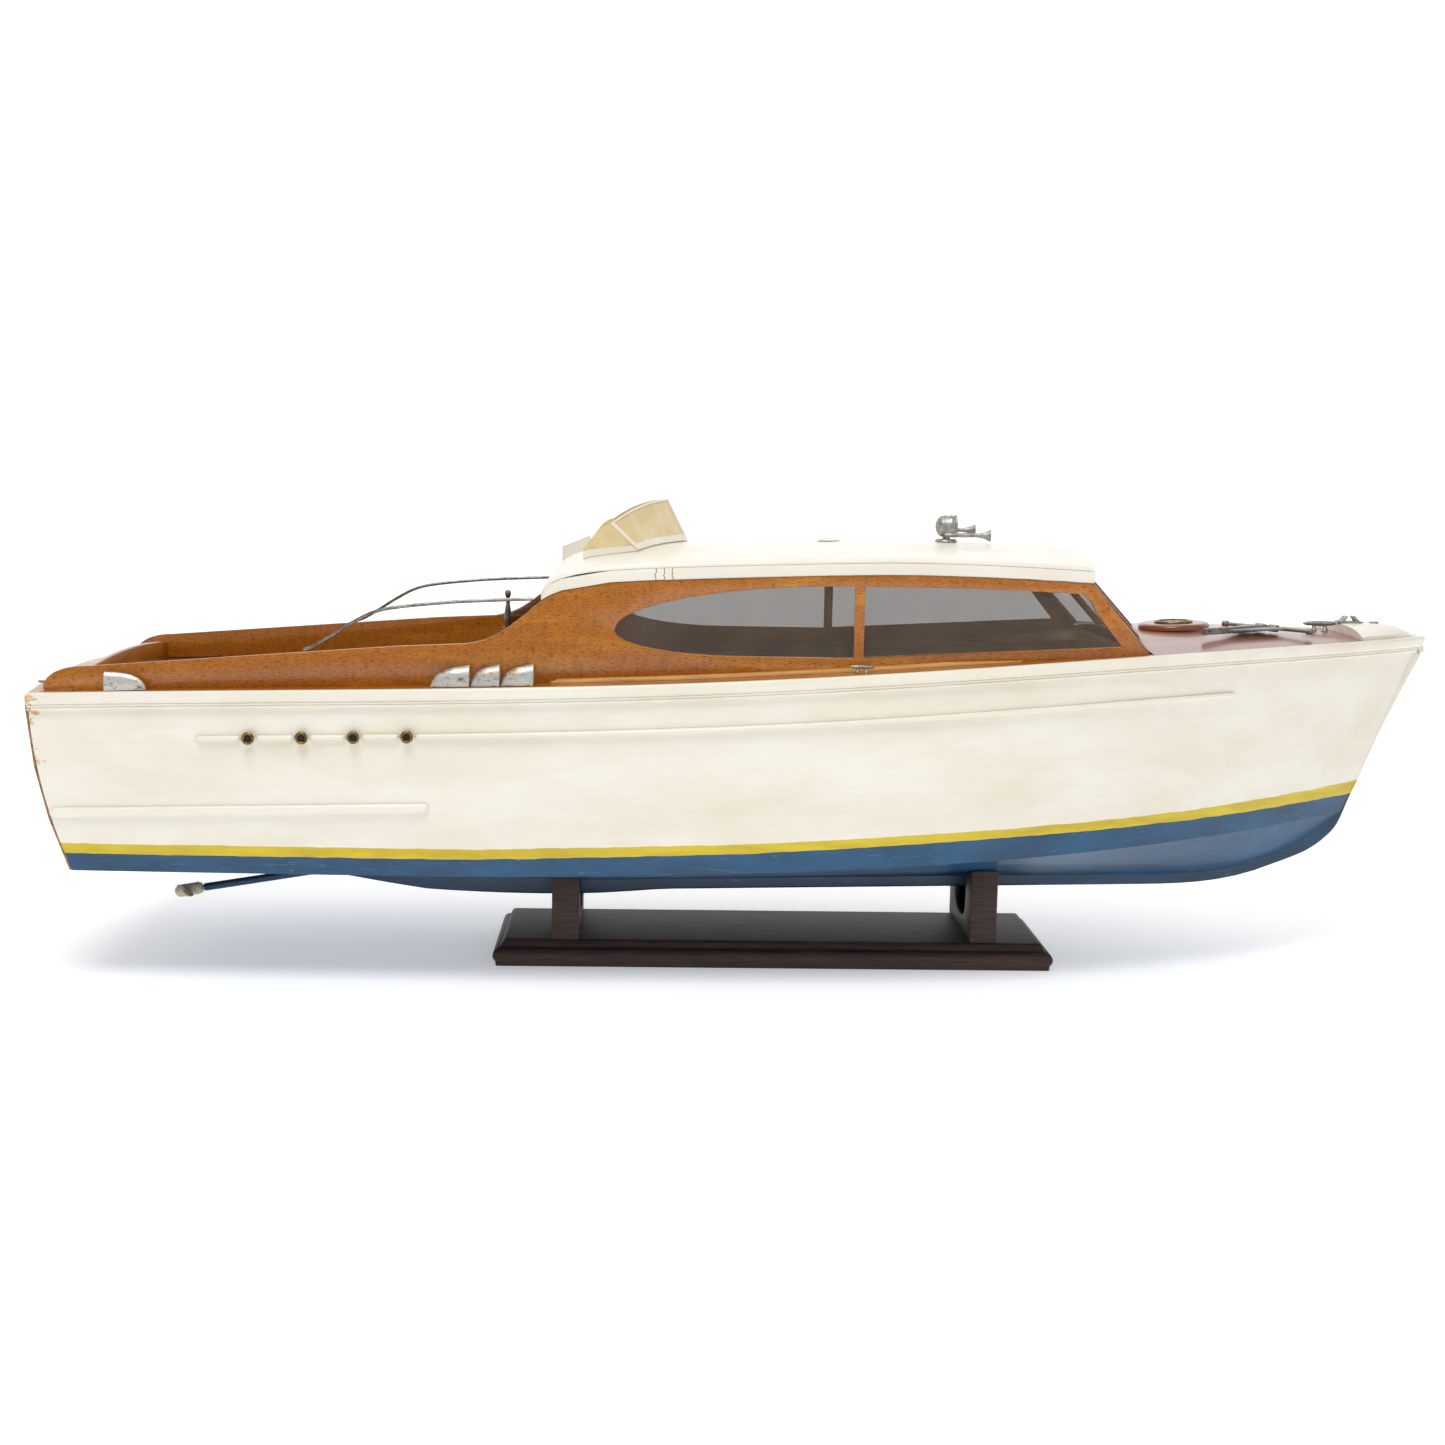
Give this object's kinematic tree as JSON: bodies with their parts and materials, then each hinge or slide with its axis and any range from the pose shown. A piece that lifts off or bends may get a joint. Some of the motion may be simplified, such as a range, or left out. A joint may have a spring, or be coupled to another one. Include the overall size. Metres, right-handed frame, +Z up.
{
  "type": "radio-controlled model motor boat",
  "caption": "Wooden radio-controlled model cabin cruiser on a display stand, with a lift-off roof, turning propeller and linked steering gear.",
  "frame": {"origin": "middle of the stand's underside, midway along the boat's length", "axes": "+X forward along the keel, +Y to port, +Z up"},
  "size_m": [0.864, 0.2526, 0.2931],
  "materials": {
    "dark_walnut": "satin dark stain",
    "blue_paint": "aged satin paint on wood",
    "keel_blue": "aged satin paint on wood",
    "white_paint": "aged semi-gloss paint on wood",
    "bare_ply": "worn paint over veneer",
    "frame_wood": "bare",
    "mahogany": "varnished",
    "dark_mahogany": "varnished",
    "tinted_acetate": "smoky, glossy",
    "aged_celluloid": "yellowed, glossy",
    "grey_nickel": "dull plating",
    "silver_paint": "satin",
    "brass": "tarnished",
    "steel": "dull",
    "tan_nylon": "satin",
    "motor_can": "satin",
    "battery_wrap": "shrink wrap",
    "black_plastic": "matte",
    "white_nylon": "satin"
  },
  "bodies": {
    "stand": {"stand_base": "dark_walnut", "cradle_aft": "dark_walnut", "cradle_fore": "dark_walnut"},
    "hull": {"keel": "keel_blue", "side_skin_starboard": "white_paint", "side_skin_port": "white_paint", "bottom_skin_starboard": "blue_paint", "bottom_skin_port": "blue_paint", "transom": "white_paint", "transom_veneer": "bare_ply", "frames": "frame_wood", "stringers": "frame_wood", "bow_block": "white_paint", "foredeck": "mahogany", "side_decks": "mahogany", "aft_deck": "mahogany", "cockpit_floor": "mahogany", "rub_rail_starboard": "white_paint", "rub_rail_port": "white_paint", "spray_rails": "white_paint", "aft_strakes": "white_paint", "exhaust_eyelets": "brass", "cabin_side_starboard": "mahogany", "cabin_side_port": "mahogany", "side_glazing": "tinted_acetate", "stern_coaming": "mahogany", "swoop_doublers": "dark_mahogany", "cabin_bulkhead": "mahogany", "windshield_frame": "mahogany", "windshield_panes": "tinted_acetate", "handrails": "grey_nickel", "cowl_vents": "silver_paint", "cleats": "grey_nickel", "bow_chock": "grey_nickel", "hatch_ring": "mahogany", "hatch_bezel": "brass", "lever_base": "mahogany", "stern_tube": "keel_blue", "shaft_bushes": "brass", "motor": "motor_can", "motor_mount": "frame_wood", "battery": "battery_wrap", "receiver": "black_plastic", "servo": "black_plastic", "rudder_tube": "brass"},
    "drive": {"propeller_shaft": "steel", "propeller": "tan_nylon", "shaft_coupling": "brass", "motor_spindle": "steel"},
    "servo_horn": {"servo_horn": "white_nylon"},
    "pushrod": {"pushrod": "steel"},
    "tiller": {"tiller": "brass"},
    "roof": {"roof": "white_paint", "roof_moulding": "white_paint", "bridge_windscreen": "aged_celluloid", "roof_disc": "white_paint"},
    "searchlight": {"searchlight": "grey_nickel"},
    "anchor": {"anchor_shank": "grey_nickel"},
    "anchor_flukes": {"anchor_flukes": "grey_nickel"},
    "lever": {"lever": "grey_nickel"}
  },
  "joints": [
    {"name": "hull_lift", "type": "slide", "parent": "stand", "child": "hull", "axis": [0, 0, 1], "range_m": [0, 0.12]},
    {"name": "roof_lift", "type": "slide", "parent": "hull", "child": "roof", "axis": [0, 0, 1], "range_m": [0, 0.08]},
    {"name": "searchlight_swivel", "type": "hinge", "parent": "roof", "child": "searchlight", "pos_m": [0.118, 0, 0.27], "axis": [0, 0, 1], "range_deg": [-90, 90]},
    {"name": "shaft_spin", "type": "hinge", "parent": "hull", "child": "drive", "pos_m": [-0.366, 0, 0.0363], "axis": [0.9863, 0, 0.165], "continuous": true},
    {"name": "servo_swing", "type": "hinge", "parent": "hull", "child": "servo_horn", "pos_m": [-0.3, 0, 0.087], "axis": [0, 0, 1], "range_deg": [-25, 25]},
    {"name": "tiller_swing", "type": "hinge", "parent": "hull", "child": "tiller", "pos_m": [-0.402, 0, 0.087], "axis": [0, 0, 1], "range_deg": [-25, 25]},
    {"name": "pushrod_pivot", "type": "hinge", "parent": "servo_horn", "child": "pushrod", "pos_m": [-0.3, 0.014, 0.0894], "axis": [0, 0, 1], "range_deg": [-25, 25]},
    {"name": "anchor_lift", "type": "slide", "parent": "hull", "child": "anchor", "axis": [0, 0, 1], "range_m": [0, 0.05]},
    {"name": "fluke_pivot", "type": "hinge", "parent": "anchor", "child": "anchor_flukes", "pos_m": [0.322, -0.02, 0.21905], "axis": [-0.6018, 0.7986, 0], "range_deg": [0, 35]},
    {"name": "lever_tilt", "type": "hinge", "parent": "hull", "child": "lever", "pos_m": [-0.161, 0, 0.207], "axis": [0, 1, 0], "range_deg": [-25, 25]}
  ],
  "couplings": [
    {"joint": "tiller_swing", "follows": "servo_swing", "ratio": 1},
    {"joint": "pushrod_pivot", "follows": "servo_swing", "ratio": -1}
  ]
}
